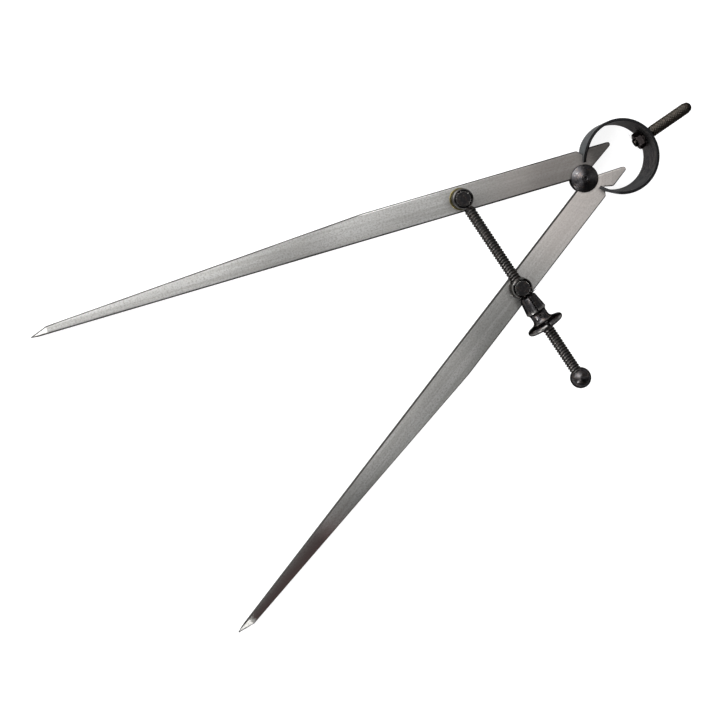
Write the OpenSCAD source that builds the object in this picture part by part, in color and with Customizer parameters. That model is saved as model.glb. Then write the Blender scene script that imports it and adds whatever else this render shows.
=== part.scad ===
// Spring divider lying on its back: two scribing legs on a grooved fulcrum, a C-shaped bow
// spring that pushes them apart, and an adjusting screw with a split quick nut that holds them.
// Millimetres. The origin is on the fulcrum axis at half the legs' thickness, +Y points along
// the handle, the points lie towards -Y, and +Z is the front, where the screw is.

/* [Legs] */
// Length of a leg from the fulcrum axis to its point
leg_length = 200; // [150:1:240]
// Width of a leg above its taper
leg_width = 9.3; // [8.6:0.1:11]
// Thickness of the leg stock
leg_thickness = 2.8; // [2:0.1:3.6]
// Angle of each leg from the handle's line, as photographed
half_opening = 18; // [8:0.1:28]
// Distance of each inner edge from the fulcrum axis
edge_offset = 0.65; // [0.4:0.05:0.9]
// Distance from the fulcrum at which the outer edge starts to taper
taper_start = 79; // [60:1:110]
// Width of a leg where its ground point starts
shoulder_width = 2.7; // [2.2:0.1:3.6]
// Length of the ground point
point_length = 6; // [4:0.5:10]
// Width and thickness of the point at its very end
point_flat = 0.3; // [0.2:0.05:0.6]
// Distance of the point from the line of the inner edge
point_offset = 0.25; // [0:0.05:0.8]
// Length over which the inner edge is ground back to the point
inner_facet = 2.4; // [1.5:0.1:4]
// Reach of a leg above the fulcrum
upper_reach = 12.1; // [10:0.1:14]
// Width of the flat at the upper end, from which the inner edge is bevelled to the fulcrum
upper_flat = 1.3; // [0.9:0.1:1.6]
// Distance above the fulcrum of the notch that seats the spring
notch_station = 2.2; // [1.5:0.1:3]
// Depth of that notch
notch_depth = 2.4; // [2:0.1:3]
// Half of the notch's opening at the leg's edge
notch_half_mouth = 2.2; // [1.8:0.1:2.4]

/* [Bow spring] */
// Outer diameter of the bow at the middle of its strip
bow_d = 25.6; // [24.6:0.1:30]
// Growth of the bow's radius from its back rim to its front rim
bow_flare = 0.9; // [0:0.05:1.4]
// Thickness of the spring strip
strip_thickness = 1; // [0.8:0.05:1.2]
// Width of the strip at the handle
strip_width = 15; // [12:0.5:17]
// Width of the strip across its forked ends
end_width = 6.4; // [5.6:0.2:9]
// Height over which the strip narrows to its forked ends
end_taper = 3.8; // [2.5:0.1:6]
// Length by which the prongs pass the bottom of the leg's notch
prong_reach = 1.9; // [0.8:0.1:2.2]
// Length of strip left clear between the fork's bottom and the notch
fork_clearance = 0.9; // [0.7:0.1:1.4]

/* [Handle] */
// Length of the grip above the spring
handle_length = 19; // [14:0.2:26]
// Diameter of the grip
handle_d = 4; // [3.4:0.1:4.6]
// Diameter of the collar at the foot of the grip
collar_d = 4.6; // [4:0.1:5.4]
// Height of that collar
collar_h = 1.3; // [0.8:0.1:2]
// Diameter of the shank that passes through the spring
shank_d = 2.8; // [2.4:0.1:3]
// Length of shank left bare below the nut
shank_tail = 0.9; // [0.4:0.1:1.4]
// Width across the flats of the handle nut
hex_flats = 5.5; // [5:0.1:6]
// Height of the handle nut
hex_height = 2.3; // [1.8:0.1:2.8]
// Diameter of the toothed lock washer over its teeth
lock_washer_d = 6.8; // [6.2:0.1:7.4]
// Thickness of the lock washer
lock_washer_h = 0.6; // [0.4:0.1:0.8]
// Number of teeth on the lock washer
lock_washer_teeth = 10; // [8:1:12]

/* [Fulcrum] */
// Diameter of the roller that the legs bear on
roller_d = 5.6; // [4.8:0.1:6.2]
// Diameter of the conical caps
cap_d = 9.8; // [8.8:0.1:10.4]
// Height of a cap's straight rim
cap_rim = 0.5; // [0.3:0.1:0.8]
// Height of a cap from the legs to its apex
cap_height = 2.1; // [1.6:0.1:2.8]
// Diameter of the roller's riveted spigots
roller_spigot_d = 2.4; // [2:0.1:2.8]
// Height by which a riveted spigot stands out of its cap
spigot_proud = 0.2; // [0.1:0.05:0.4]

/* [Posts] */
// Distance of both posts from the fulcrum, along the leg
post_station = 44.3; // [40:0.1:56]
// Diameter of a post
post_d = 7; // [6.4:0.1:7.6]
// Height of a post above the leg
post_height = 6.6; // [6.4:0.1:7.4]
// Diameter of the raised crown on top of a post
crown_d = 5.3; // [4.6:0.1:5.8]
// Height of that crown
crown_h = 0.4; // [0.2:0.1:0.6]
// Height of the screw's axis above the leg
screw_height = 3.6; // [3.5:0.05:3.8]
// Diameter of the spigot that passes through the leg
post_spigot_d = 3; // [2.6:0.1:3.4]
// Diameter of the washer under each post
post_washer_d = 7.8; // [7.4:0.1:8.4]
// Thickness of the washer under each post
post_washer_h = 0.5; // [0.3:0.05:0.6]
// Diameter of the washer behind each leg
rear_washer_d = 6.2; // [5.4:0.1:7]
// Thickness of the washer behind each leg
rear_washer_h = 0.6; // [0.4:0.1:0.8]
// Diameter of the riveted head behind each leg
rivet_d = 4.4; // [3.8:0.1:5]
// Height of that riveted head
rivet_h = 0.6; // [0.4:0.1:0.9]

/* [Adjusting screw] */
// Outside diameter of the screw's thread
screw_d = 4; // [3.6:0.05:4.1]
// Distance from the anchor post's axis to the centre of the ball
screw_length = 75.6; // [66:0.2:90]
// Diameter of the ball
ball_d = 7.5; // [6.8:0.1:8.4]
// Diameter of the plain neck beside the anchor post
neck_d = 2.9; // [2.6:0.1:3.2]
// Length of that neck outside the post
neck_length = 1.8; // [1:0.1:3]
// Diameter of the screw's plain ends inside the post and the ball
screw_end_d = 2.6; // [2.2:0.1:2.8]
// Diameter of the cross pin that locks the screw in the anchor post
cross_pin_d = 1; // [0.8:0.1:1.2]

/* [Split nut] */
// Diameter of the nose where it bears on the post
nose_d = 4.9; // [4.8:0.1:5.1]
// Diameter of the nose behind its chamfered end
nose_root_d = 6; // [5.6:0.1:6.2]
// Diameter of the nose at its shoulder
nose_shoulder_d = 7.5; // [7:0.1:8]
// Length of the nose to its shoulder
nose_length = 6.1; // [5.6:0.1:7.2]
// Length over which the shoulder falls to the waist
shoulder_fall = 1.3; // [1:0.1:1.6]
// Diameter of the waist
waist_d = 6.1; // [5.8:0.1:6.4]
// Length from the shoulder to the hollow in front of the flange
waist_length = 2.6; // [2:0.1:3.4]
// Radius of that hollow between the waist and the flange
flange_hollow = 1.8; // [1.4:0.1:2.2]
// Diameter of the finger flange
flange_d = 13.7; // [12:0.1:15]
// Length of the flange from the waist to its outer face
flange_length = 4.1; // [3.7:0.1:4.8]
// Thickness of the flange at its rounded rim
flange_rim = 1.9; // [1.2:0.1:2.2]
// Width of the two slots that open the rim in line with the saw cut
rim_slot = 1; // [0.6:0.1:1.4]
// Depth of those slots
rim_slot_depth = 2.2; // [1.4:0.1:2.8]
// Height of the boss on the flange's outer face
boss_height = 0.7; // [0.4:0.1:1.2]
// Diameter of that boss
boss_d = 5.9; // [5.7:0.1:7]
// Width of the saw cut between the jaws
jaw_gap = 0.5; // [0.3:0.05:0.7]

/* [Clearances] */
// Radial running clearance of every turning or sliding fit
run_clear = 0.05; // [0.03:0.01:0.08]
// Side clearance of a leg between the fulcrum caps and in the spring's fork
side_clear = 0.15; // [0.1:0.05:0.2]
// Gap between the nut's nose and its seat on the post
seat_clear = 0.3; // [0.2:0.05:0.4]

/* [Hidden] */

$fn = 96;
// Length by which a cutting tool runs past what it cuts
over = 1;

bright_steel = [0.72, 0.71, 0.69];
black_steel = [0.16, 0.16, 0.17];
aged_brass = [0.45, 0.38, 0.22];

leg_face = leg_thickness / 2;
bevel_start = 0.2;
upper_corner = 0.4;
upper_width = leg_width - upper_flat;
notch_root = 0.35;

// A place on the right leg, given along the leg from the fulcrum towards the point and
// outwards from its inner edge, as a point of the assembly.
function on_leg(along, out) =
  let (x = edge_offset + out, c = cos(half_opening), s = sin(half_opening))
  [x * c + along * s, x * s - along * c];

// The bow is centred where its inner face passes through the bottom of both notches.
bow_r = bow_d / 2;
bow_inner_r = bow_r - strip_thickness;
bow_middle_r = bow_r - strip_thickness / 2;
notch_bottom = on_leg(-notch_station, leg_width - notch_depth);
bow_centre_y = notch_bottom[1] + sqrt(pow(bow_inner_r, 2) - pow(notch_bottom[0], 2));
notch_angle = asin(notch_bottom[0] / bow_inner_r);
prong_angle = notch_angle - prong_reach / bow_middle_r * 180 / PI;
fork_angle = notch_angle + fork_clearance / bow_middle_r * 180 / PI;
fork_width = leg_thickness + 2 * side_clear;

// The collar stands on the widest part of the conical strip that it covers.
bow_slope = bow_flare / strip_width;
bow_top_y = bow_centre_y + bow_r + bow_slope * collar_d / 2;
handle_end_y = bow_top_y + handle_length;

// The lock washer lies across the inside of the bow and touches it with its edge, a little
// lower than on a straight tube because the strip is conical.
lock_washer_y = bow_centre_y + sqrt(pow(bow_inner_r, 2) - pow(lock_washer_d / 2, 2))
  - pow(bow_slope, 2) * bow_inner_r / 2;
hex_top_y = lock_washer_y - lock_washer_h;
hex_low_y = hex_top_y - hex_height;
shank_end_y = hex_low_y - shank_tail;

cap_face = leg_face + side_clear;

// Both posts stand at the middle of the leg's width.
post_place = on_leg(post_station, leg_width / 2);
post_x = post_place[0];
post_y = post_place[1];
post_seat = leg_face + post_washer_h + run_clear;
post_top = leg_face + post_height;
rear_seat = leg_face + run_clear;
screw_z = leg_face + screw_height;
screw_bore_r = screw_d / 2 + run_clear;
ball_x = screw_length - post_x;
anchor_socket = post_d / 2 - 0.8;

// Stations along the screw, counted from the swivel post's axis.
seat_face = post_d / 2 - 0.3;
nose_start = seat_face + seat_clear;
shoulder_at = nose_start + nose_length;
flange_back = shoulder_at + waist_length;
flange_front = flange_back + flange_length;
nut_end = flange_front + boss_height;
jaw_seat_d = waist_d - 0.8;
seat_d = nose_d + 2 * seat_clear + 0.4;

echo(post_spread = 2 * post_x, ball_x = ball_x, bow_centre_y = bow_centre_y,
     handle_end_y = handle_end_y, screw_z = screw_z, post_y = post_y, nut_end = nut_end,
     fork_angle = fork_angle, prong_angle = prong_angle, hex_low_y = hex_low_y);

// Points of a circular arc from angle a to angle b
function arc(centre, r, a, b, steps) =
  [for (i = [0:steps]) let (t = a + (b - a) * i / steps) centre + r * [cos(t), sin(t)]];

// Turns a profile of [radius, height] about the screw's direction, +X
module turned_along_x(profile) {
  rotate([0, 90, 0]) rotate_extrude() polygon(profile);
}

// Turns a profile of [radius, height] about the handle's direction, +Y
module turned_along_y(profile) {
  rotate([-90, 0, 0]) rotate_extrude() polygon(profile);
}

// Places what it holds on the swivel post's axis, or mirrored on the anchor post's
module at_swivel() {
  translate([post_x, post_y, 0]) children();
}

module at_anchor() {
  translate([-post_x, post_y, 0]) children();
}

module washer(outer_d, bore_d, h) {
  difference() {
    cylinder(d = outer_d, h = h);
    translate([0, 0, -over]) cylinder(d = bore_d, h = h + 2 * over);
  }
}

// Outline of a leg with its inner edge along the Y axis and its point towards -Y
module leg_outline() {
  polygon([
    [0, bevel_start],
    [upper_width, upper_reach],
    [leg_width - upper_corner, upper_reach],
    [leg_width, upper_reach - upper_corner],
    [leg_width, -taper_start],
    [shoulder_width, point_length - leg_length],
    [point_offset + point_flat, -leg_length],
    [point_offset, -leg_length],
    [0, inner_facet - leg_length]
  ]);
}

// V-shaped notch with a round root, cut from the outer edge for the end of the spring
module spring_notch() {
  slope = notch_half_mouth / notch_depth;
  root_y = notch_station;
  polygon([
    [leg_width - notch_depth, root_y],
    [leg_width + over, root_y + slope * (notch_depth + over)],
    [leg_width + over, root_y - slope * (notch_depth + over)]
  ]);
  translate([leg_width - notch_depth + notch_root, root_y]) circle(r = notch_root);
}

// Side view of a leg, ground thinner towards its point on both faces
module leg_side() {
  polygon([
    [upper_reach + over, -leg_face],
    [upper_reach + over, leg_face],
    [point_length - leg_length, leg_face],
    [-leg_length, point_flat / 2],
    [-leg_length, -point_flat / 2],
    [point_length - leg_length, -leg_face]
  ]);
}

// One leg, open by half_opening towards +X
module leg() {
  color(bright_steel) rotate([0, 0, half_opening]) difference() {
    intersection() {
      translate([edge_offset, 0, -leg_face]) linear_extrude(leg_thickness) difference() {
        leg_outline();
        spring_notch();
      }
      rotate([90, 0, 90]) linear_extrude(leg_width + over) leg_side();
    }
    translate([0, 0, -leg_thickness])
      cylinder(d = roller_d + 2 * run_clear, h = 2 * leg_thickness);
    translate([edge_offset + leg_width / 2, -post_station, -leg_thickness])
      cylinder(d = post_spigot_d + 2 * run_clear, h = 2 * leg_thickness);
  }
}

module left_leg() {
  mirror([1, 0, 0]) leg();
}

module right_leg() {
  leg();
}

// Side view of the bow, of one width round the arc and rounded in to its forked ends
module bow_side() {
  end_y = bow_centre_y - bow_middle_r * cos(prong_angle);
  steps = 10;
  half = [for (i = [0:steps])
    let (f = i / steps)
    [end_y + end_taper * f, end_width / 2 + (strip_width - end_width) / 2 * sin(90 * f)]];
  polygon(concat(
    [[end_y - bow_r, end_width / 2]],
    half,
    [[bow_top_y + over, strip_width / 2], [bow_top_y + over, -strip_width / 2]],
    [for (i = [steps:-1:0]) [half[i][0], -half[i][1]]],
    [[end_y - bow_r, -end_width / 2]]
  ));
}

// Section of the strip, leaning out towards the front so that the bow is a shallow cone
module strip_section() {
  lean = bow_flare / 2;
  half = strip_width / 2;
  polygon([
    [bow_inner_r - lean, -half], [bow_r - lean, -half],
    [bow_r + lean, half], [bow_inner_r + lean, half]
  ]);
}

// The spring strip, rolled round with its two forked ends in the notches of the legs
module bow_spring() {
  color(black_steel) difference() {
    intersection() {
      translate([0, bow_centre_y, 0]) rotate([0, 0, prong_angle - 90])
        rotate_extrude(angle = 360 - 2 * prong_angle) strip_section();
      rotate([90, 0, 90]) translate([0, 0, -bow_d]) linear_extrude(2 * bow_d) bow_side();
    }
    for (side = [-1, 1])
      translate([0, bow_centre_y, 0]) rotate([0, 0, side * fork_angle - 90])
        translate([0, side < 0 ? 0 : -bow_r, -fork_width / 2])
          cube([bow_d, bow_r, fork_width]);
    translate([0, bow_centre_y, 0]) rotate([-90, 0, 0])
      cylinder(d = shank_d + 2 * run_clear, h = bow_d);
  }
}

// Grip, collar and shank, turned in one piece
module handle() {
  grip_r = handle_d / 2;
  shank_r = shank_d / 2;
  chamfer = 0.3;
  color(black_steel) turned_along_y(concat(
    [[0, shank_end_y], [shank_r - chamfer, shank_end_y], [shank_r, shank_end_y + chamfer],
     [shank_r, bow_top_y], [collar_d / 2, bow_top_y], [collar_d / 2, bow_top_y + collar_h],
     [grip_r, bow_top_y + collar_h + chamfer]],
    arc([0, handle_end_y - grip_r], grip_r, 0, 90, 10)
  ));
}

// Lock washer with teeth round its edge
module handle_lock_washer() {
  tooth_step = 360 / lock_washer_teeth;
  body_d = lock_washer_d - 1;
  color(black_steel) translate([0, lock_washer_y, 0]) rotate([90, 0, 0]) difference() {
    union() {
      cylinder(d = body_d, h = lock_washer_h);
      for (i = [0:lock_washer_teeth - 1])
        rotate([0, 0, i * tooth_step]) translate([body_d / 2 - 0.3, -0.45, 0])
          cube([(lock_washer_d - body_d) / 2 + 0.25, 0.9, lock_washer_h]);
    }
    translate([0, 0, -over]) cylinder(d = shank_d + 2 * run_clear, h = lock_washer_h + 2 * over);
  }
}

// Hexagon nut that clamps the handle to the spring
module handle_nut() {
  corner_d = hex_flats / cos(30);
  color(black_steel) translate([0, hex_top_y, 0]) rotate([90, 0, 0]) difference() {
    intersection() {
      cylinder(d = corner_d, h = hex_height, $fn = 6);
      rotate_extrude() polygon([
        [0, 0], [hex_flats / 2, 0], [corner_d / 2, 0.35],
        [corner_d / 2, hex_height - 0.35], [hex_flats / 2, hex_height], [0, hex_height]
      ]);
    }
    translate([0, 0, -over]) cylinder(d = shank_d + 2 * run_clear, h = hex_height + 2 * over);
  }
}

// Roller that both legs turn on, with a spigot at each end riveted over its cap
module fulcrum_roller() {
  spigot_r = roller_spigot_d / 2;
  end_z = cap_face + cap_height + spigot_proud;
  dimple = 0.35;
  color(black_steel) rotate_extrude() polygon([
    [0, dimple - end_z], [dimple, -end_z], [spigot_r - 0.2, -end_z], [spigot_r, 0.2 - end_z],
    [spigot_r, -cap_face], [roller_d / 2, -cap_face], [roller_d / 2, cap_face],
    [spigot_r, cap_face], [spigot_r, end_z - 0.2], [spigot_r - 0.2, end_z],
    [dimple, end_z], [0, end_z - dimple]
  ]);
}

// Shallow turned cone that keeps the legs on the roller
module fulcrum_cap() {
  bore_r = roller_spigot_d / 2;
  color(black_steel) translate([0, 0, cap_face]) rotate_extrude() polygon([
    [bore_r, 0], [cap_d / 2 - 0.15, 0], [cap_d / 2, 0.15], [cap_d / 2, cap_rim - 0.1],
    [cap_d / 2 - 0.15, cap_rim + 0.05], [bore_r + 0.15, cap_height], [bore_r, cap_height]
  ]);
}

module front_fulcrum_cap() {
  fulcrum_cap();
}

module rear_fulcrum_cap() {
  mirror([0, 0, 1]) fulcrum_cap();
}

// Turned post with a crown on top, and a spigot riveted over the washer behind the leg
module post_blank() {
  r = post_d / 2;
  spigot_r = post_spigot_d / 2;
  edge = 0.25;
  crown_z = post_top - crown_h;
  rivet_seat = -rear_seat - rear_washer_h;
  rotate_extrude() polygon([
    [0, rivet_seat - rivet_h], [rivet_d / 2 - 0.5, rivet_seat - rivet_h],
    [rivet_d / 2, rivet_seat - rivet_h / 2], [rivet_d / 2, rivet_seat], [spigot_r, rivet_seat],
    [spigot_r, post_seat], [r - edge, post_seat], [r, post_seat + edge], [r, crown_z - edge],
    [r - edge, crown_z], [crown_d / 2, crown_z], [crown_d / 2, post_top - 0.15],
    [crown_d / 2 - 0.2, post_top], [0, post_top]
  ]);
}

module anchor_post() {
  color(black_steel) at_anchor() difference() {
    post_blank();
    translate([-anchor_socket, 0, screw_z]) rotate([0, 90, 0])
      cylinder(d = screw_end_d, h = post_d);
    translate([0, post_d, screw_z]) rotate([90, 0, 0]) cylinder(d = cross_pin_d, h = 2 * post_d);
  }
}

module anchor_washer() {
  color(aged_brass) at_anchor() translate([0, 0, leg_face])
    washer(post_washer_d, post_spigot_d + 2 * run_clear, post_washer_h);
}

module anchor_rear_washer() {
  color(black_steel) at_anchor() translate([0, 0, -rear_seat - rear_washer_h])
    washer(rear_washer_d, post_spigot_d, rear_washer_h);
}

// Pin across the anchor post and the screw's end, flush with the post
module anchor_cross_pin() {
  pin_length = post_d - 0.1;
  color(black_steel) at_anchor() translate([0, pin_length / 2, screw_z]) rotate([90, 0, 0])
    cylinder(d = cross_pin_d, h = pin_length);
}

// Threaded rod with a plain end in the anchor post, a neck beside it and a plain end in the ball
module adjusting_screw() {
  end_r = screw_end_d / 2;
  neck_at = post_d / 2;
  thread_at = neck_at + neck_length;
  ball_face = screw_length - sqrt(pow(ball_d / 2, 2) - pow(screw_d / 2, 2)) + 0.1;
  color(black_steel) at_anchor() translate([0, 0, screw_z]) difference() {
    turned_along_x([
      [0, -anchor_socket], [end_r, -anchor_socket], [end_r, neck_at],
      [neck_d / 2, neck_at], [neck_d / 2, thread_at], [screw_d / 2, thread_at + 0.45],
      [screw_d / 2, ball_face], [end_r, ball_face], [end_r, screw_length + 1], [0, screw_length + 1]
    ]);
    translate([0, post_d, 0]) rotate([90, 0, 0]) cylinder(d = cross_pin_d, h = 2 * post_d);
  }
}

// Ball on the free end of the screw, where the nut stops
module ball_end() {
  ball_face = screw_length - sqrt(pow(ball_d / 2, 2) - pow(screw_d / 2, 2)) + 0.1;
  color(black_steel) at_anchor() translate([0, 0, screw_z]) difference() {
    translate([screw_length, 0, 0]) rotate([0, 90, 0]) sphere(d = ball_d);
    translate([ball_face - ball_d, -ball_d, -ball_d]) cube([ball_d, 2 * ball_d, 2 * ball_d]);
    rotate([0, 90, 0]) cylinder(d = screw_end_d, h = screw_length + 1);
  }
}

// Swivelling post with a bore for the screw and a spot-faced seat for the nut's nose
module swivel_post() {
  color(black_steel) at_swivel() difference() {
    post_blank();
    translate([-post_d, 0, screw_z]) rotate([0, 90, 0])
      cylinder(r = screw_bore_r, h = 2 * post_d);
    translate([seat_face, 0, screw_z]) rotate([0, 90, 0]) cylinder(d = seat_d, h = post_d);
  }
}

module swivel_washer() {
  color(bright_steel) at_swivel() translate([0, 0, leg_face])
    washer(post_washer_d, post_spigot_d + 2 * run_clear, post_washer_h);
}

module swivel_rear_washer() {
  color(black_steel) at_swivel() translate([0, 0, -rear_seat - rear_washer_h])
    washer(rear_washer_d, post_spigot_d, rear_washer_h);
}

// Two half shells with nose, shoulder and waist, parted by a saw cut along the screw
module nut_jaws() {
  bore_r = screw_bore_r;
  waist_r = waist_d / 2;
  shoulder_r = nose_shoulder_d / 2;
  fall = shoulder_r - waist_r;
  hollow_r = (pow(shoulder_fall, 2) + pow(fall, 2)) / (2 * fall);
  hollow_sweep = asin(shoulder_fall / hollow_r);
  hollow_centre = [waist_r + hollow_r, shoulder_at + shoulder_fall];
  hollow = arc(hollow_centre, hollow_r, 180 + hollow_sweep, 180, 6);
  nose_chamfer = (nose_root_d - nose_d) / 2;
  color(black_steel) at_swivel() translate([0, 0, screw_z]) difference() {
    turned_along_x(concat(
      [[bore_r, nose_start], [nose_d / 2, nose_start],
       [nose_root_d / 2, nose_start + nose_chamfer], [shoulder_r, shoulder_at - 0.3]],
      hollow,
      [[waist_r, flange_back], [jaw_seat_d / 2, flange_back], [jaw_seat_d / 2, flange_front],
       [bore_r, flange_front]]
    ));
    translate([nose_start - over, -jaw_gap / 2, -flange_d])
      cube([nut_end, jaw_gap, 2 * flange_d]);
  }
}

// Finger flange that carries the jaws. It grows out of the waist in a hollow, has a rounded rim
// with a slot above and below, and is raised to a low boss on its outer face.
module nut_flange() {
  flange_r = flange_d / 2;
  waist_r = waist_d / 2;
  bore_r = screw_bore_r + 0.1;
  round_r = flange_rim / 2;
  slot_floor = flange_r - rim_slot_depth;
  hollow = arc([waist_r + flange_hollow, flange_back], flange_hollow, 180, 100, 6);
  rim = arc([flange_r - round_r, flange_front - round_r], round_r, -90, 90, 8);
  color(black_steel) at_swivel() translate([0, 0, screw_z]) difference() {
    turned_along_x(concat(
      [[bore_r, flange_front], [jaw_seat_d / 2, flange_front], [jaw_seat_d / 2, flange_back]],
      hollow,
      rim,
      [[boss_d / 2 + 0.3, flange_front + 0.1], [boss_d / 2, nut_end - 0.2],
       [boss_d / 2 - 0.2, nut_end], [bore_r, nut_end]]
    ));
    for (side = [-1, 1])
      translate([flange_back, -rim_slot / 2, side < 0 ? -flange_d : slot_floor])
        cube([2 * flange_length, rim_slot, flange_d - slot_floor]);
  }
}

left_leg();
right_leg();
bow_spring();
handle();
handle_lock_washer();
handle_nut();
fulcrum_roller();
front_fulcrum_cap();
rear_fulcrum_cap();
anchor_washer();
anchor_post();
anchor_rear_washer();
anchor_cross_pin();
adjusting_screw();
ball_end();
swivel_washer();
swivel_post();
swivel_rear_washer();
nut_jaws();
nut_flange();
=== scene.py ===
import bmesh
import bpy
import math
import numpy as np
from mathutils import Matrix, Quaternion, Vector


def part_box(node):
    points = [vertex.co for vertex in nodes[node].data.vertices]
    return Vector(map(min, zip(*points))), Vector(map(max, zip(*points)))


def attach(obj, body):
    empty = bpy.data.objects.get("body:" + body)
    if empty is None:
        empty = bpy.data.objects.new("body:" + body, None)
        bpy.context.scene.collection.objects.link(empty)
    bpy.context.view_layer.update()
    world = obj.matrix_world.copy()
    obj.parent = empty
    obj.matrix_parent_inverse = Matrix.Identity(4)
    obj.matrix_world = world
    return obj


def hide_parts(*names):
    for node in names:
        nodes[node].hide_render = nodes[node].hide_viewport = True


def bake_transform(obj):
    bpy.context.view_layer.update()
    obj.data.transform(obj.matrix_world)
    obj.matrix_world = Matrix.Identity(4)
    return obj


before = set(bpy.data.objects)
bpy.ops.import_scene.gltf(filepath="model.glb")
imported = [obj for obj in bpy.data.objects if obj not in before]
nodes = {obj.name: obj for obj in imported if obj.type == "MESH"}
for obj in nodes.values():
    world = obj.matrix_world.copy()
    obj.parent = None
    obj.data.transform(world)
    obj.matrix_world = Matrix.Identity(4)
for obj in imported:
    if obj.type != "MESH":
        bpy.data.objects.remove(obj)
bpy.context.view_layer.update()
scene = bpy.context.scene
scene.view_settings.view_transform = "Standard"
MM = 0.001

# The camera hangs over the tool as the photographer's did, on a long lens and a little to the
# side of the points, so that the inside of the bow and the sides of the posts show.
camera_aim = Vector((8.95, -100.77, 0)) * MM
camera_distance = 692 * MM
camera_azimuth = math.radians(66.9)
camera_elevation = math.radians(81.9)
camera_roll = math.radians(122.5)
away = Vector((
    -math.sin(camera_azimuth) * math.cos(camera_elevation),
    -math.cos(camera_azimuth) * math.cos(camera_elevation),
    math.sin(camera_elevation),
))


def add_object(name, data):
    thing = bpy.data.objects.new(name, data)
    scene.collection.objects.link(thing)
    return thing


camera_data = bpy.data.cameras.new("camera")
camera_data.lens = 98.56
camera_data.sensor_width = 36
camera = add_object("camera", camera_data)
camera.location = camera_aim + away * camera_distance
camera.rotation_mode = "QUATERNION"
camera.rotation_quaternion = (
    (-away).to_track_quat("-Z", "Y") @ Quaternion((0, 0, 1), camera_roll)
)
scene.camera = camera


class Wire:
    """A socket of a node tree that Python arithmetic works on: each operation adds its node."""

    def __init__(self, tree, socket=None):
        self.tree = tree
        self.socket = socket

    def feed(self, node, inputs):
        """Gives each named socket of a node its value, or the wire that leads to it."""
        for name, value in inputs.items():
            if isinstance(value, Wire):
                self.tree.links.new(value.socket, node.inputs[name])
            else:
                node.inputs[name].default_value = value

    def node(self, kind, settings, inputs, output=0):
        """Adds a node of a kind: its settings first, then its sockets. Gives one output."""
        node = self.tree.nodes.new("ShaderNode" + kind)
        for name, value in settings.items():
            setattr(node, name, value)
        self.feed(node, inputs)
        return Wire(self.tree, node.outputs[output])

    def also(self, output):
        """Another output of the node that this wire comes from."""
        return Wire(self.tree, self.socket.node.outputs[output])

    def maths(self, operation, first, second=0.0):
        return self.node("Math", {"operation": operation}, {0: first, 1: second})

    def __add__(self, other):
        return self.maths("ADD", self, other)

    def __sub__(self, other):
        return self.maths("SUBTRACT", self, other)

    def __rsub__(self, other):
        return self.maths("SUBTRACT", other, self)

    def __mul__(self, other):
        return self.maths("MULTIPLY", self, other)

    def __truediv__(self, other):
        return self.maths("DIVIDE", self, other)

    def __pow__(self, other):
        return self.maths("POWER", self, other)

    def __rpow__(self, other):
        return self.maths("POWER", other, self)

    __radd__ = __add__
    __rmul__ = __mul__

    def size(self):
        """The number without its sign."""
        return self.maths("ABSOLUTE", self)

    def least(self, other):
        return self.maths("MINIMUM", self, other)

    def between(self, low, high):
        """0 below low and 1 above high, with a smooth step in between."""
        return self.node("MapRange", {"interpolation_type": "SMOOTHSTEP"}, {0: self, 1: low, 2: high})

    def mix(self, first, second):
        """The first colour where this wire is 0, and the second where it is 1."""
        return self.node("Mix", {"data_type": "RGBA"}, {0: self, 6: first, 7: second}, 2)

    def parts(self):
        """X, Y and Z of a vector."""
        x = self.node("SeparateXYZ", {}, {0: self})
        return x, x.also(1), x.also(2)

    def joined(self, x, y, z):
        return self.node("CombineXYZ", {}, {0: x, 1: y, 2: z})

    def noise(self, bumps, detail=2.0, roughness=0.5):
        """Cloudy noise round 0.5. bumps is the width of one bump along X, Y and Z in mm."""
        factors = [1 / (width * MM) for width in bumps]
        scaled = self.node("VectorMath", {"operation": "MULTIPLY"}, {0: self, 1: factors})
        settings = {"Vector": scaled, "Scale": 1.0, "Detail": detail, "Roughness": roughness}
        return self.node("TexNoise", {}, settings)

    def bump(self, height, earlier=None):
        """A normal from this wire as a height, 0 to 1, over so many metres."""
        inputs = {"Height": self, "Distance": height}
        if earlier:
            inputs["Normal"] = earlier
        return self.node("Bump", {}, inputs)


def grey(level):
    return (level, level, level, 1.0)


# The bench: a white top that touches the tool where it rests, at the back rim of the bow and where
# the legs' points begin. It is tilted a little against the legs, as the bow stands out behind them.
rim_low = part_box("bow_spring")[0]
leg_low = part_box("left_leg")[0]
prong_length = 3.9 * MM
point_length = 5.7 * MM
rim_y = rim_low.y + prong_length
shoulder_y = leg_low.y + point_length
bench_slope = (rim_low.z - leg_low.z) / (rim_y - shoulder_y)
bench_half = 4.0
corners = np.array([[-1, -1], [1, -1], [1, 1], [-1, 1]]) * bench_half
heights = leg_low.z + bench_slope * (corners[:, 1] - shoulder_y)
bench_mesh = bpy.data.meshes.new("bench")
bench_mesh.from_pydata(np.column_stack([corners, heights]).tolist(), [], [[0, 1, 2, 3]])
bench = add_object("bench", bench_mesh)
bench_material = bpy.data.materials.new("white_bench")
bench_material.use_nodes = True
wire = Wire(bench_material.node_tree)
bench_shader = bench_material.node_tree.nodes["Principled BSDF"]
rays = wire.node("LightPath", {}, {})
seen = (rays + rays.also("Is Glossy Ray") + rays.also("Is Transmission Ray")).least(1.0)
wire.feed(bench_shader, {
    "Base Color": grey(0.3), "Roughness": 0.9, "Specular IOR Level": 0.0,
    "Emission Color": seen.mix(grey(0.0), grey(1.0)), "Emission Strength": 0.88,
})
bench_mesh.materials.append(bench_material)

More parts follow.
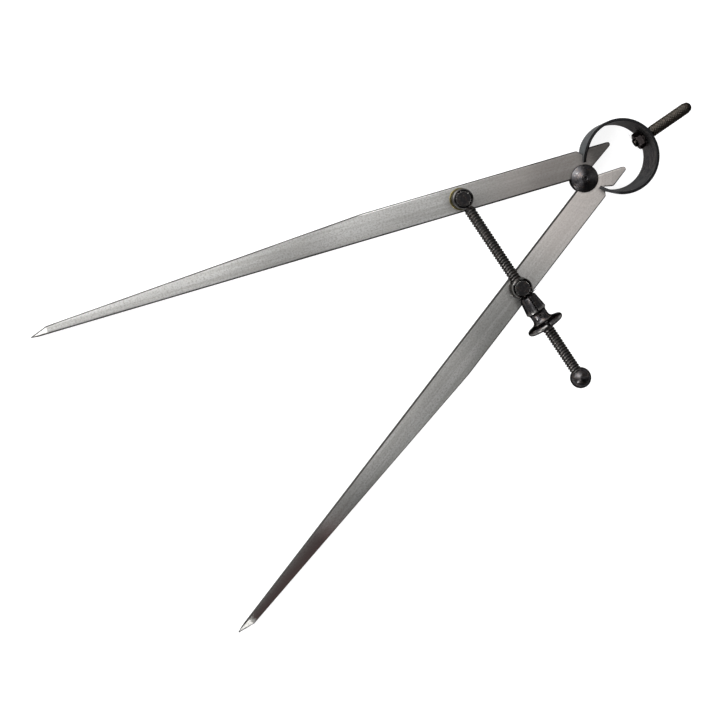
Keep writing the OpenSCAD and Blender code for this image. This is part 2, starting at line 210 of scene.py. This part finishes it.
# Studio light: grey walls under a dark ceiling, paler on the side of the anchor post, and six soft
# lights, each with a place and a spread on the sky seen from above, and a level. The camera itself
# sees plain white beyond the bench.
ceiling_level = 0.02
wall_level = 0.34
wall_lean = 0.26
ceiling_from, ceiling_to = 0.5, 0.82
horizon_fade = 0.2
soft_lights = (
    ((0.13, 0.34), (0.14, 0.12), 1.1),     # two soft boxes over the tool, for its flat faces
    ((-0.20, -0.15), (0.20, 0.20), 0.4),
    ((0.12, -0.46), (0.22, 0.07), 3.0),    # a third towards the points, for their facets
    ((-0.65, -0.20), (0.20, 0.28), 11.0),  # a window on the side of the anchor post
    ((0.27, -0.80), (0.05, 0.05), 50.0),   # a small lamp beyond the points
    ((0.28, 0.67), (0.16, 0.16), 0.8),     # a dim one opposite
)
world = bpy.data.worlds.new("studio")
scene.world = world
world.use_nodes = True
wire = Wire(world.node_tree)
x, y, z = wire.node("TexCoord", {}, {}).parts()
walls = wall_level - wall_lean * x
level = walls + z.between(ceiling_from, ceiling_to) * (ceiling_level - walls)
for (light_x, light_y), (spread_x, spread_y), light_level in soft_lights:
    off_centre = ((x - light_x) / spread_x) ** 2.0 + ((y - light_y) / spread_y) ** 2.0
    level = level + light_level * math.e ** (off_centre * -0.5) * z.between(0.0, horizon_fade)
seen = wire.node("LightPath", {}, {})
level = level + seen * (1.0 - level)
wire.feed(world.node_tree.nodes["Background"], {"Color": grey(1.0), "Strength": level})

# The legs: two bars blanked from sheet steel, ground bright lengthwise on both faces, tapered
# and ground to points. Their narrow edges are broken by deburring and painted dark, as painted
# shade for the dark room that the rounded edges reflect.
edge_break = 0.45 * MM
point_break = 0.25
point_reach = 8 * MM
half_opening = math.radians(18)
inner_edge = 0.65 * MM
half_wide = 4.65 * MM
half_narrow = 1.35 * MM
half_point = 0.2 * MM
taper_from, taper_to = 79 * MM, 194 * MM
point_to = 200 * MM
crown_slope = 0.05
# Width of the painted edge shade at the outer edge.
outer_shade_width = 0.3 * MM


def dressed_copy(name, node, break_width, sharp=math.radians(30), ease=lambda at: 1.0):
    """A CAD node's own shape as a new piece. Its corners are merged, flat neighbours are joined
    and edges turned by more than sharp get a small round, as a deburred edge has. ease gives the
    share of that round from a point's place."""
    mesh = bpy.data.meshes.new(name)
    shape = bmesh.new()
    shape.from_mesh(nodes[node].data)
    bmesh.ops.remove_doubles(shape, verts=shape.verts, dist=1e-7)
    bmesh.ops.dissolve_limit(shape, verts=shape.verts, edges=shape.edges, angle_limit=math.radians(0.5))
    bmesh.ops.recalc_face_normals(shape, faces=shape.faces)
    weights = [
        ease((edge.verts[0].co + edge.verts[1].co) / 2) if edge.calc_face_angle(0.0) > sharp else 0.0
        for edge in shape.edges
    ]
    shape.to_mesh(mesh)
    shape.free()
    mesh.shade_smooth()
    mesh.set_sharp_from_angle(angle=sharp)
    mesh.attributes.new("bevel_weight_edge", "FLOAT", "EDGE").data.foreach_set("value", weights)
    piece = add_object(name, mesh)
    rounding = piece.modifiers.new("broken_edges", "BEVEL")
    rounding.limit_method = "WEIGHT"
    rounding.width = break_width
    rounding.segments = 2
    rounding.harden_normals = True
    rounding.use_clamp_overlap = False
    return piece


def finish_piece(piece, body, slot, material, *replaced):
    """Gives a piece its material and puts it in its CAD node's place. Its slot is not used."""
    piece.data.materials.clear()
    piece.data.materials.append(material)
    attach(piece, body)
    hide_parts(*replaced)


def new_material(name):
    material = bpy.data.materials.new(name)
    material.use_nodes = True
    return material, Wire(material.node_tree), material.node_tree.nodes["Principled BSDF"]


def ground_steel(name, side, inner_shade_width, painted_start_level, *painted_levels):
    """Steel ground lengthwise by hand: grinding lines run along the leg, and its face is crowned
    a little from edge to edge. Both edges are lined with painted shade, to a width of its own at
    the inner one, for the dark room that they reflect. The face's brightness along the leg is
    painted reflection: a painted level at the top, then steps, each two distances below the
    fulcrum, in mm, and the painted level that the steel comes to between them. Where that painted
    darkness is deepest near the point the colour is tinted brown."""
    material, wire, shader = new_material(name)
    place = wire.node("TexCoord", {}, {}, "Object")
    along_leg = place.node("Mapping", {}, {
        "Vector": place, "Rotation": (0, 0, -side * half_opening),
    })
    across, along, _ = along_leg.parts()
    reach = along * -1.0
    from_fulcrum = (across ** 2.0 + along ** 2.0) ** 0.5
    narrowed = wire.node("Clamp", {}, {0: (reach - taper_from) / (taper_to - taper_from)})
    sharpened = wire.node("Clamp", {}, {0: (reach - taper_to) / (point_to - taper_to)})
    half = half_wide + (half_narrow - half_wide) * narrowed + (half_point - half_narrow) * sharpened
    off_middle = (across * side - inner_edge - half) / half
    crown = off_middle ** 2.0 * half * (-crown_slope / 2)
    lines = along_leg.noise((0.25, 14, 0.25), 1.0)
    streaks = along_leg.noise((0.9, 30, 0.9), 3.0)
    grain = along_leg.noise((0.45, 0.7, 0.45), 2.0, 0.6)
    blotches = along_leg.noise((3, 5, 3), 5.0, 0.6)
    pits = along_leg.noise((0.8, 0.9, 0.8), 1.0).between(0.76, 0.82)
    arcs = wire.joined(from_fulcrum, 0.0, 0.0).noise((0.9, 1, 1))
    swept = 1.0 - from_fulcrum.between(7 * MM, 17 * MM)
    facing = wire.node("TexCoord", {}, {}, "Normal").parts()[2].size()
    # Painted shade: a band along each edge, and every face turned sideways, is painted near black.
    clear_of_edge_shade = ((off_middle + 1.0) * half / inner_shade_width).least((1.0 - off_middle) * half / outer_shade_width)
    clear_of_edge_shade = (clear_of_edge_shade + (streaks - 0.5) * 0.8).between(0.7, 1.3).least(facing.between(0.3, 0.8))
    painted_edge_shade = 1.0 - clear_of_edge_shade
    tone = streaks.between(0.3, 0.7).mix((0.75, 0.745, 0.72, 1), (0.96, 0.955, 0.94, 1))
    tone = (blotches.between(0.42, 0.8) * 0.5).mix(tone, (0.72, 0.70, 0.66, 1))
    tone = (grain.between(0.42, 0.68) * 0.7).mix(tone, (0.55, 0.53, 0.50, 1))
    tone = ((1.0 - from_fulcrum.between(15 * MM, 50 * MM)) * 0.5).mix(tone, (0.88, 0.78, 0.73, 1))
    tone = (swept * arcs.between(0.4, 0.6) * 0.15).mix(tone, (0.40, 0.37, 0.34, 1))
    # Painted reflection: the colour is scaled by a level that steps darker and lighter along the leg,
    # different for each leg.
    level = painted_start_level
    for start, end, painted_end_level in painted_levels:
        reached = (reach + (blotches - 0.5) * (8 * MM)).between(start * MM, end * MM)
        level = level + (painted_end_level - level) * reached
    # A brown tint where the painted darkness is deepest, 135 to 158 mm below the fulcrum, more towards
    # one edge.
    brown_in_painted_dark = reach.between(135 * MM, 158 * MM) * (1.0 - level.between(0.2, 0.6))
    tone = (brown_in_painted_dark * (0.5 + off_middle * 0.35)).mix(tone, (1.0, 0.64, 0.62, 1))
    tone = wire.node("VectorMath", {"operation": "SCALE"}, {0: tone, "Scale": level})
    tone = (pits * 0.3).mix(tone, (0.10, 0.085, 0.075, 1))
    # The painted shade along the edges.
    tone = painted_edge_shade.mix(tone, (0.035, 0.033, 0.032, 1))
    streak_marks = (streaks * 0.5 + arcs * swept).bump(0.004 * MM, crown.bump(1.0))
    wire.feed(shader, {
        "Base Color": tone,
        "Metallic": 1.0,
        "Specular Tint": grey(0.4),
        "Roughness": 0.30 + 0.06 * blotches + 0.15 * painted_edge_shade + 0.1 * pits,
        "Normal": lines.bump(0.004 * MM, streak_marks),
    })
    return material


# For each leg: the width of the painted shade at the inner edge, then the painted level at the top and
# its steps along the leg.
leg_painted_light = {
    "left": (
        0.55 * MM, 0.15, (-7, 1, 0.40), (12, 26, 0.55), (28, 60, 0.78), (62, 80, 0.89),
        (84, 100, 0.71), (105, 138, 1.0),
    ),
    "right": (
        0.3 * MM, 0.70, (-10, 0, 0.90), (20, 58, 0.50), (62, 82, 0.69), (85, 105, 0.76),
        (114, 148, 0.40), (146, 158, 0.165), (192, 194, 1.0),
    ),
}
for side, turn in (("left", -1), ("right", 1)):
    leg = dressed_copy(
        side + "_scribing_leg", side + "_leg", edge_break,
        ease=lambda at: 1.0 if at.y > leg_low.y + point_reach else point_break,
    )
    leg_finish = ground_steel(side + "_ground_steel", turn, *leg_painted_light[side])
    finish_piece(leg, side + "_leg", "leg_steel", leg_finish, side + "_leg")

# The fulcrum: a roller between the legs and two shallow cones riveted on its ends, all turned
# from steel and blackened in oil. The tool marks of the lathe ring the cones.
cap_low, cap_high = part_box("front_fulcrum_cap")
roller_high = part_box("fulcrum_roller")[1]
cap_r = cap_high.x
rim_h = 0.5 * MM
spigot_r = 1.2 * MM
dimple_r = 0.55 * MM
dimple_h = 0.5 * MM


def grid_faces(rows, columns, closed):
    """Quads that join each point of a grid to the next in its row, which may close on itself,
    and to both their neighbours in the next row."""
    row = np.arange(rows - 1)[:, None] * columns
    here = np.arange(columns if closed else columns - 1)[None, :]
    beside = (here + 1) % columns
    corners = (row + here, row + beside, row + columns + beside, row + columns + here)
    return np.stack(corners, axis=-1).reshape(-1, 4).tolist()


def new_piece(name, points, faces, sharp=math.radians(35)):
    """A mesh of its own from points and faces: points that meet are merged, faces turned out."""
    mesh = bpy.data.meshes.new(name)
    mesh.from_pydata(points.reshape(-1, 3).tolist(), [], faces)
    shape = bmesh.new()
    shape.from_mesh(mesh)
    bmesh.ops.remove_doubles(shape, verts=shape.verts, dist=1e-7)
    bmesh.ops.recalc_face_normals(shape, faces=shape.faces)
    shape.to_mesh(mesh)
    shape.free()
    mesh.shade_smooth()
    mesh.set_sharp_from_angle(angle=sharp)
    return add_object(name, mesh)


def eased(profile, radius, steps=4):
    """An open profile with each inner corner replaced by a curve that starts and ends a radius
    away from it, or half way to the next corner where that is nearer."""
    profile = np.asarray(profile, float)
    corner = profile[1:-1]
    back = profile[:-2] - corner
    ahead = profile[2:] - corner
    back_length = np.linalg.norm(back, axis=1, keepdims=True)
    ahead_length = np.linalg.norm(ahead, axis=1, keepdims=True)
    reach = np.minimum(radius, np.minimum(back_length, ahead_length) / 2)
    start = corner + back / back_length * reach
    end = corner + ahead / ahead_length * reach
    t = np.linspace(0, 1, steps + 1)[None, :, None]
    curve = start[:, None] * (1 - t) ** 2 + 2 * corner[:, None] * t * (1 - t) + end[:, None] * t ** 2
    return np.vstack([profile[:1], curve.reshape(-1, 2), profile[-1:]])


def turned_points(profile, direction, centre, steps=96):
    """Rows of a profile of (radius, height) turned about a line along X, Y or Z through a point."""
    profile = np.asarray(profile, float)
    angle = np.arange(steps) / steps * 2 * math.pi
    out = profile[:, :1] * np.cos(angle), profile[:, :1] * np.sin(angle)
    up = np.repeat(profile[:, 1:], steps, axis=1)
    order = {"x": (up, *out), "y": (out[1], up, out[0]), "z": (*out, up)}[direction]
    return np.stack(order, axis=-1) + np.array(centre)


def turned_piece(name, profile, direction, centre, steps=96):
    """A piece of its own from a profile turned about a line."""
    points = turned_points(profile, direction, centre, steps)
    return new_piece(name, points, grid_faces(len(points), steps, True))


def blackened(name, direction, centre, base=(0.036, 0.035, 0.037, 1), wear_and_highlight=(0.15, 0.145, 0.14, 1),
              grazing=0.15, highlit_worn_rims=()):
    """Turned steel, blackened and oiled: rings of tool marks round the line that the piece was
    turned about, brown where the black is thin and grey where it is rubbed off. The oil darkens
    its edges seen at a grazing angle, less so for a higher value of grazing. The last argument
    holds the radii of crests or rims painted in the rubbed colour: partly wear back to the steel,
    partly painted highlight where light catches them."""
    material, wire, shader = new_material(name)
    place = wire.node("TexCoord", {}, {}, "Object")
    x, y, z = place.node("VectorMath", {"operation": "SUBTRACT"}, {0: place, 1: centre}).parts()
    first, second, up = {"x": (y, z, x), "y": (z, x, y), "z": (x, y, z)}[direction]
    out = (first ** 2.0 + second ** 2.0) ** 0.5
    profile = wire.joined(out, up, 0.0)
    rings = profile.noise((0.22, 0.22, 1))
    wide_rings = profile.noise((0.7, 0.7, 1), 1.0)
    tint = place.noise((1.3, 1.3, 1.3), 4.0, 0.6)
    rubbed = place.noise((0.6, 0.6, 0.6), 5.0, 0.65)
    tone = tint.between(0.48, 0.75).mix(base, (0.066, 0.050, 0.043, 1))
    tone = (rubbed.between(0.5, 0.72) * 0.6).mix(tone, wear_and_highlight)
    rim_width = 0.15 * MM
    # Painted highlight, partly wear: a bright ring of the rubbed colour at each of these radii.
    for radius in highlit_worn_rims:
        inside = out.between(radius - rim_width, radius)
        beyond = out.between(radius + rim_width / 5, radius + rim_width)
        tone = ((inside - beyond) * 0.9).mix(tone, wear_and_highlight)
    marks = wide_rings.bump(0.03 * MM, rubbed.bump(0.014 * MM))
    wire.feed(shader, {
        "Base Color": tone,
        "Metallic": 1.0,
        "Specular Tint": grey(grazing),
        "Roughness": 0.15 + 0.2 * tint,
        "Normal": rings.bump(0.014 * MM, marks),
    })
    return material


fulcrum_finish = blackened("turned_fulcrum_steel", "z", (0, 0, 0))
for side, up in (("front", 1), ("rear", -1)):
    cone = eased([
        (spigot_r, cap_low.z), (cap_r, cap_low.z), (cap_r, cap_low.z + rim_h),
        (spigot_r, cap_high.z), (spigot_r, cap_low.z),
    ], 0.25 * MM)
    cap = turned_piece(side + "_cone_cap", cone * (1, up), "z", (0, 0, 0))
    finish_piece(cap, "head", "black_steel", fulcrum_finish, side + "_fulcrum_cap")
end_z = roller_high.z
seat_z = cap_low.z
half_roller = np.array([
    (dimple_r * 0.3, end_z - dimple_h), (dimple_r, end_z), (spigot_r, end_z),
    (spigot_r, seat_z), (roller_high.x, seat_z),
])
roller_profile = np.vstack([
    [(0, end_z - dimple_h)], eased(np.vstack([half_roller, half_roller[::-1] * (1, -1)]), 0.15 * MM),
    [(0, dimple_h - end_z)],
])
roller = turned_piece("riveted_roller", roller_profile, "z", (0, 0, 0))
finish_piece(roller, "head", "black_steel", fulcrum_finish, "fulcrum_roller")

# The bow: one strip of spring steel, rolled into a shallow cone and left in its dark heat scale.
# Each end is forked, and its two prongs straddle a leg and bear in the notch of its outer edge.
# It flexes as the legs swing; here it is built as two halves that meet under the handle.
strip_h = 1.0 * MM
bow_mid_r = 12.3 * MM
bow_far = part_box("bow_spring")[1]
bow_centre_y = bow_far.y - bow_far.x
bow_shift = 0.45 * MM
bow_lean = 0.9 / 15
half_strip = bow_far.z
half_end = 3.2 * MM
end_rise = 3.8 * MM
prong_angle = math.radians(24.58)
fork_angle = math.radians(37.62)
half_fork = 1.55 * MM
hole_r = 1.45 * MM
hole_fade = 0.35
strip_rows = 120
prong_rows = 14


def bow_half(side):
    """Half of the strip's middle surface, as rows across it from the handle's hole to the end of
    the prongs. A point lies at an angle round the bow and a height across the strip, and the
    radius grows with that height. The rows' ends are drawn in where the strip narrows. Bent by
    hand, the bow bulges a little more over the right leg."""
    top = np.linspace(math.pi, fork_angle, strip_rows)
    low = np.linspace(fork_angle, prong_angle, prong_rows)[1:]
    angle = np.concatenate([top, low])
    rise = bow_mid_r * (math.cos(prong_angle) - np.cos(angle)) / end_rise
    half = half_end + (half_strip - half_end) * np.sin(np.clip(rise, 0, 1) * math.pi / 2)
    outer = np.linspace(1, 0, 10)[:, None]
    prong = half_fork + outer * (half - half_fork)
    middle = np.linspace(1, -1, 15)[1:-1, None] * half_fork * np.ones_like(half)
    across = np.vstack([prong, middle, -prong[::-1]])
    hole = np.sqrt(np.clip(hole_r ** 2 - across ** 2, 0, None)) / bow_mid_r
    fade = np.clip((angle - (math.pi - hole_fade)) / hole_fade, 0, 1)
    turn = angle - hole * fade
    radius = bow_mid_r + bow_lean * across
    aside = bow_shift * (1 - fade)
    points = np.stack([
        side * radius * np.sin(turn) + aside, bow_centre_y - radius * np.cos(turn), across,
    ], axis=-1)
    points = points.transpose(1, 0, 2)
    rows, columns = points.shape[:2]
    cells = np.array(grid_faces(rows, columns, False)).reshape(rows - 1, columns - 1, 4)
    slot = np.zeros((rows - 1, columns - 1), bool)
    slot[strip_rows - 1:, len(prong) - 1:-(len(prong) - 1)] = True
    around = np.repeat(bow_mid_r * angle[:, None], columns, axis=1)
    return points, cells[~slot].tolist(), np.stack([around, across.T], axis=-1)


blued, wire, shader = new_material("blued_spring_strip")
place = wire.node("TexCoord", {}, {}, "Object")
strip = wire.node("UVMap", {"uv_map": "strip"}, {})
outside = wire.node("Attribute", {"attribute_name": "outside"}, {}, "Fac")
rolling = strip.noise((9, 0.3, 1), 3.0)
scale = place.noise((2.2, 2.2, 2.2), 5.0, 0.6)
rubbed = strip.noise((6, 0.9, 1), 4.0, 0.6)
rim = wire.node("TexCoord", {}, {}, "Normal").parts()[2].size().between(0.12, 0.4)
# The inside of the strip is coloured darker than its blued outside: partly the strip's own scale, partly
# painted shade inside the ring.
dark = scale.between(0.35, 0.7).mix((0.090, 0.087, 0.090, 1), (0.120, 0.114, 0.110, 1))
blue = scale.between(0.3, 0.7).mix((0.115, 0.122, 0.128, 1), (0.160, 0.167, 0.172, 1))
blue = rubbed.between(0.4, 0.7).mix(blue, (0.21, 0.22, 0.223, 1))
wire.feed(shader, {
    "Base Color": rim.mix(outside.mix(dark, blue), (0.018, 0.018, 0.019, 1)),
    "Metallic": 1.0,
    "Specular Tint": grey(0.22),
    "Roughness": 0.36 + 0.2 * scale + 0.1 * rim,
    "Normal": rolling.bump(0.02 * MM, scale.bump(0.02 * MM)),
})
for side, turn in (("left", -1), ("right", 1)):
    points, cells, unrolled = bow_half(turn)
    mesh = bpy.data.meshes.new(side + "_bow_half")
    mesh.from_pydata(points.reshape(-1, 3).tolist(), [], cells)
    layer = mesh.uv_layers.new(name="strip")
    corner = np.empty(len(mesh.loops), np.int32)
    mesh.loops.foreach_get("vertex_index", corner)
    layer.uv.foreach_set("vector", unrolled.reshape(-1, 2)[corner].ravel())
    half_bow = add_object(side + "_bow_half", mesh)
    wall = half_bow.modifiers.new("wall", "SOLIDIFY")
    wall.thickness = strip_h
    wall.offset = 0
    wall.use_even_offset = True
    rounding = half_bow.modifiers.new("rounded_edges", "BEVEL")
    rounding.width = 0.2 * MM
    rounding.segments = 3
    rounding.angle_limit = math.radians(50)
    bpy.context.view_layer.update()
    solid = bpy.data.meshes.new_from_object(half_bow.evaluated_get(bpy.context.evaluated_depsgraph_get()))
    half_bow.modifiers.clear()
    half_bow.data = solid
    coords = np.empty(len(solid.vertices) * 3, np.float32)
    solid.vertices.foreach_get("co", coords)
    coords = coords.reshape(-1, 3) - (0, bow_centre_y, 0)
    middle = bow_mid_r + bow_lean * coords[:, 2]
    beyond = np.hypot(coords[:, 0], coords[:, 1]) - middle
    share_outside = np.clip(beyond / strip_h * 3 + 0.5, 0, 1).astype(np.float32)
    solid.attributes.new("outside", "FLOAT", "POINT").data.foreach_set("value", share_outside)
    solid.shade_smooth()
    solid.set_sharp_from_angle(angle=math.radians(40))
    solid.materials.append(blued)
    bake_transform(half_bow)
    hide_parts("bow_spring")

# The handle: turned in one piece from bar, with a collar that stands on the bow, a diamond
# knurl for the fingers and a round end. Its shank goes through the bow to the nut inside.
handle_low, handle_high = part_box("handle")
grip_r = 2.0 * MM
shank_r = 1.4 * MM
collar_r = handle_high.x
collar_h = 1.3 * MM
groove_h = 0.5 * MM
end_h = 1.7 * MM
collar_y = bow_centre_y + bow_mid_r + strip_h / 2 + bow_lean * collar_r
collar_end = collar_y + collar_h
knurl_start = collar_end + groove_h
knurl_end = handle_high.y - end_h
knurl_depth = 0.22 * MM
knurl_gap = 0.05 * MM
knurl_count = 14
knurl_rows = 14
knurl_cut = 6
columns = knurl_count * knurl_cut


def knurled(along, around):
    """Height of a diamond knurl, 0 in a groove and 1 on a crest: two families of grooves wind
    round the grip in opposite ways, and the deeper one counts."""
    one = np.abs((along + around) % 1 * 2 - 1)
    other = np.abs((along - around) % 1 * 2 - 1)
    return 1 - np.maximum(one, other)


crest_cut = 1.5
runout = 30
grip_rows = np.linspace(0, 1, knurl_rows * knurl_cut + 1)
around = np.arange(columns) / knurl_cut
height = knurled(grip_rows[:, None] * knurl_rows, around[None, :])
height = np.minimum(height * crest_cut, 1)
height *= np.clip(np.minimum(grip_rows, 1 - grip_rows) * runout, 0, 1)[:, None]
angle = around / knurl_count * 2 * math.pi
radius = grip_r - knurl_depth * (1 - height)
knurl_y = knurl_start + grip_rows * (knurl_end - knurl_start)
knurl = np.stack([
    radius * np.sin(angle), np.repeat(knurl_y[:, None], columns, axis=1), radius * np.cos(angle),
], axis=-1)
groove_r = grip_r - knurl_depth
below = eased([
    (0, handle_low.y), (shank_r, handle_low.y), (shank_r, collar_y), (collar_r, collar_y),
    (collar_r, collar_end), (groove_r, collar_end + groove_h / 2),
    (groove_r, knurl_start - knurl_gap),
], 0.2 * MM)
round_end = np.linspace(0, math.pi / 2, 14)
above = np.column_stack([
    groove_r * np.cos(round_end), knurl_end + knurl_gap + (end_h - knurl_gap) * np.sin(round_end),
])
grip_points = np.concatenate([
    turned_points(below, "y", (0, 0, 0), columns), knurl,
    turned_points(above, "y", (0, 0, 0), columns),
])
grip = new_piece("knurled_handle", grip_points, grid_faces(len(grip_points), columns, True),
                 sharp=math.radians(60))
# The knurl's crests are painted bright: partly wear, partly painted highlight.
knurl_finish = blackened(
    "knurled_handle_steel", "y", (0, 0, 0), (0.016, 0.015, 0.014, 1), (0.056, 0.050, 0.042, 1),
    highlit_worn_rims=(grip_r - 0.03 * MM,),
)
finish_piece(grip, "head", "black_steel", knurl_finish, "handle")

# Inside the bow a toothed lock washer and a hexagon nut hold the handle. The washer's teeth are
# each twisted a little, to bite into the strip and the nut.
nut_finish = blackened("black_nut_steel", "y", (0, 0, 0), (0.06, 0.05, 0.05, 1), grazing=0.3)
teeth = 10
washer_low, washer_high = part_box("handle_lock_washer")
washer_centre = (washer_low + washer_high) / 2
washer_h = washer_high.y - washer_low.y
washer_r = washer_high.z
tooth_h = 0.8 * MM
washer_root_r = washer_r - tooth_h
tooth_twist = math.radians(20)
tooth_steps = 12


def toothed_washer():
    """Sections round the washer: each is a flat rectangle from the bore to the edge. The edge
    steps out at each tooth, and the outer corners tilt one way to its left and back to its right."""
    turn = np.arange(teeth * tooth_steps) / tooth_steps
    phase = turn % 1 * 2 - 1
    tooth = np.clip((0.55 - np.abs(phase)) / 0.12, 0, 1)
    angle = turn / teeth * 2 * math.pi
    reach = washer_root_r + tooth_h * tooth
    tilt = phase * tooth * math.tan(tooth_twist) * tooth_h * 0.6
    half = washer_h * 0.36
    bore = np.full_like(reach, shank_r + 0.05 * MM)
    root = np.full_like(reach, washer_root_r - 0.1 * MM)
    radius = np.stack([bore, root, reach, reach, root, bore])
    flat = np.full_like(reach, half)
    lift = np.stack([-flat, -flat, -flat + tilt, flat + tilt, flat, flat])
    rows = np.stack([radius * np.cos(angle), washer_centre.y + lift, radius * np.sin(angle)], axis=-1)
    return np.concatenate([rows, rows[:1]])


washer_points = toothed_washer()
lock_washer = new_piece("toothed_lock_washer", washer_points,
                        grid_faces(len(washer_points), teeth * tooth_steps, True))
finish_piece(lock_washer, "head", "black_steel", nut_finish, "handle_lock_washer")
hexagon = dressed_copy("hexagon_nut", "handle_nut", 0.12 * MM, math.radians(20))
finish_piece(hexagon, "head", "black_steel", nut_finish, "handle_nut")

# The posts: turned pins with a raised crown, free to swivel in the legs and riveted over a plain
# washer behind. The anchor post stands on an aged brass washer, the other on a steel one.
post_break = 0.55 * MM
crown_r = 2.65 * MM
crown_h = 1 * MM
washer_break = 0.08 * MM
posts = (
    ("anchor", "adjusting_screw", "left_leg", "aged_brass", "aged_washer_brass",
     (0.25, 0.21, 0.09, 1), (0.5, 0.43, 0.2, 1)),
    ("swivel", "swivel_post", "right_leg", "leg_steel", "dull_washer_steel",
     (0.22, 0.215, 0.21, 1), (0.4, 0.39, 0.38, 1)),
)
for name, body, leg_body, seat_slot, seat_finish, seat_base, seat_worn in posts:
    low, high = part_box(name + "_post")
    seat_low, seat_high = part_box(name + "_washer")
    post_x = (seat_low.x + seat_high.x) / 2
    post_y = (low.y + high.y) / 2
    post_centre = Vector((post_x, post_y))
    crown_z = high.z - crown_h
    head_r = (high.y - low.y) / 2

    def post_ease(at):
        """Full for the rim of the head, a quarter for the crown on it and for the foot."""
        return 1.0 if at.z > crown_z and (at.xy - post_centre).length > 1.1 * crown_r else 0.25

    turned_about = (post_x, post_y, 0)
    # The crown's edge and the head's rim are painted bright: partly wear, partly painted highlight.
    post_finish = blackened(name + "_post_steel", "z", turned_about, (0.036, 0.035, 0.037, 1),
                            (0.18, 0.175, 0.165, 1), 0.25, (crown_r - 0.1 * MM, head_r))
    post = dressed_copy(name + "_turned_post", name + "_post", post_break, ease=post_ease)
    finish_piece(post, body, "black_steel", post_finish, name + "_post")
    rear = dressed_copy(name + "_plain_washer", name + "_rear_washer", washer_break)
    finish_piece(rear, body, "black_steel", post_finish, name + "_rear_washer")
    seat = dressed_copy(name + "_seat_washer", name + "_washer", washer_break)
    seat_metal = blackened(seat_finish, "z", turned_about, seat_base, seat_worn)
    finish_piece(seat, leg_body, seat_slot, seat_metal, name + "_washer")
pin = dressed_copy("cross_pin", "anchor_cross_pin", 0.08 * MM)
finish_piece(pin, "adjusting_screw", "black_steel", nut_finish, "anchor_cross_pin")

# The adjusting screw: a coarse rolled thread from the neck by the anchor post to the ball that
# keeps the nut on. Both ends are plain and go into the post and the ball.
screw_low, screw_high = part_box("adjusting_screw")
screw_y = (screw_low.y + screw_high.y) / 2
screw_z = (screw_low.z + screw_high.z) / 2
crest_r = screw_high.y - screw_y
root_r = crest_r - 0.34 * MM
neck_r = 1.45 * MM
pin_r = 1.3 * MM
pitch = 1.04 * MM
ball_low, ball_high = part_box("ball_end")
ball_r = ball_high.z - screw_z
ball_x = ball_high.x - ball_r
neck_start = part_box("anchor_post")[1].x - 0.1 * MM
thread_start = neck_start + 0.5 * MM
rows_a_turn = 16
screw_columns = 30


def threaded_rod():
    """Rows that wind with the thread: a row starts each sixteenth of a pitch and gains one pitch on
    its way round, so crest and root lie along whole rows. The last point of a row joins the first
    point of the row a turn further on. The thread runs out into the plain neck and end."""
    turns = int((screw_high.x - screw_low.x) / pitch) - 1
    row = np.arange(turns * rows_a_turn + 1)[:, None]
    share = np.arange(screw_columns)[None, :] / screw_columns
    along = screw_low.x + (row / rows_a_turn + share) * pitch
    phase = np.abs(row / rows_a_turn % 1 * 2 - 1) + 0 * share
    profile = np.clip(phase * 2 - 0.25, 0, 1)
    rolled = root_r + (crest_r - root_r) * (3 - 2 * profile) * profile ** 2
    runout = np.clip((along - thread_start) / (0.8 * pitch), 0, 1)
    radius = np.minimum(rolled, neck_r + (crest_r - neck_r) * runout)
    plain = np.clip((neck_start - along) / (0.1 * MM), 0, 1)
    radius = radius + (pin_r - neck_r) * plain
    angle = share * 2 * math.pi + 0 * row
    return np.stack([along, screw_y + radius * np.cos(angle), screw_z + radius * np.sin(angle)], axis=-1)


rod = threaded_rod()
rows = len(rod)
index = np.arange(rows * screw_columns).reshape(rows, screw_columns)
first = index[:-1]
second = index[1:]
inner = np.stack([first[:, :-1], first[:, 1:], second[:, 1:], second[:, :-1]], axis=-1).reshape(-1, 4)
seam = np.stack([
    first[:-rows_a_turn, -1], first[rows_a_turn:, 0], second[rows_a_turn:, 0], second[:-rows_a_turn, -1],
], axis=-1)
start_cap = np.concatenate([index[0], index[rows_a_turn:0:-1, 0]]).tolist()
end_cap = np.concatenate([index[-1], index[-2:-2 - rows_a_turn:-1, -1]]).tolist()
screw = new_piece("threaded_rod", rod, inner.tolist() + seam.tolist() + [start_cap, end_cap],
                  sharp=math.radians(60))
screw_axis = (0, screw_y, screw_z)
# The thread's crests are painted bright: partly wear, partly painted highlight.
screw_finish = blackened("rolled_thread_steel", "x", screw_axis, (0.018, 0.018, 0.018, 1),
                         (0.065, 0.061, 0.058, 1), highlit_worn_rims=(crest_r,))
finish_piece(screw, "adjusting_screw", "black_steel", screw_finish, "adjusting_screw")
ball_face = ball_low.x
polar = np.linspace(math.acos((ball_face - ball_x) / ball_r), 0, 40)
ball_profile = np.vstack([
    [(0, ball_x), (pin_r, ball_x), (pin_r, ball_face)],
    np.column_stack([ball_r * np.sin(polar), ball_x + ball_r * np.cos(polar)]),
])
ball = turned_piece("turned_ball", ball_profile, "x", screw_axis)
finish_piece(ball, "adjusting_screw", "black_steel", blackened("turned_ball_steel", "x", screw_axis),
             "ball_end")

# The quick nut: two half jaws with nose, shoulder and waist, parted by a saw cut, and a dished
# finger flange that holds them. Closed by the cone in the post, they grip the thread.
jaws = dressed_copy("split_jaws", "nut_jaws", 0.1 * MM, math.radians(25))
jaw_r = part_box("nut_jaws")[1].z - screw_z
flange_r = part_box("nut_flange")[1].z - screw_z
# The rims of the jaws' shoulder and of the flange are painted bright: partly wear, partly painted
# highlight.
jaw_finish = blackened("turned_nut_steel", "x", screw_axis, highlit_worn_rims=(jaw_r, flange_r))
finish_piece(jaws, "quick_nut", "black_steel", jaw_finish, "nut_jaws")
flange = dressed_copy("finger_flange", "nut_flange", 0.12 * MM, math.radians(25))
finish_piece(flange, "quick_nut", "black_steel", jaw_finish, "nut_flange")
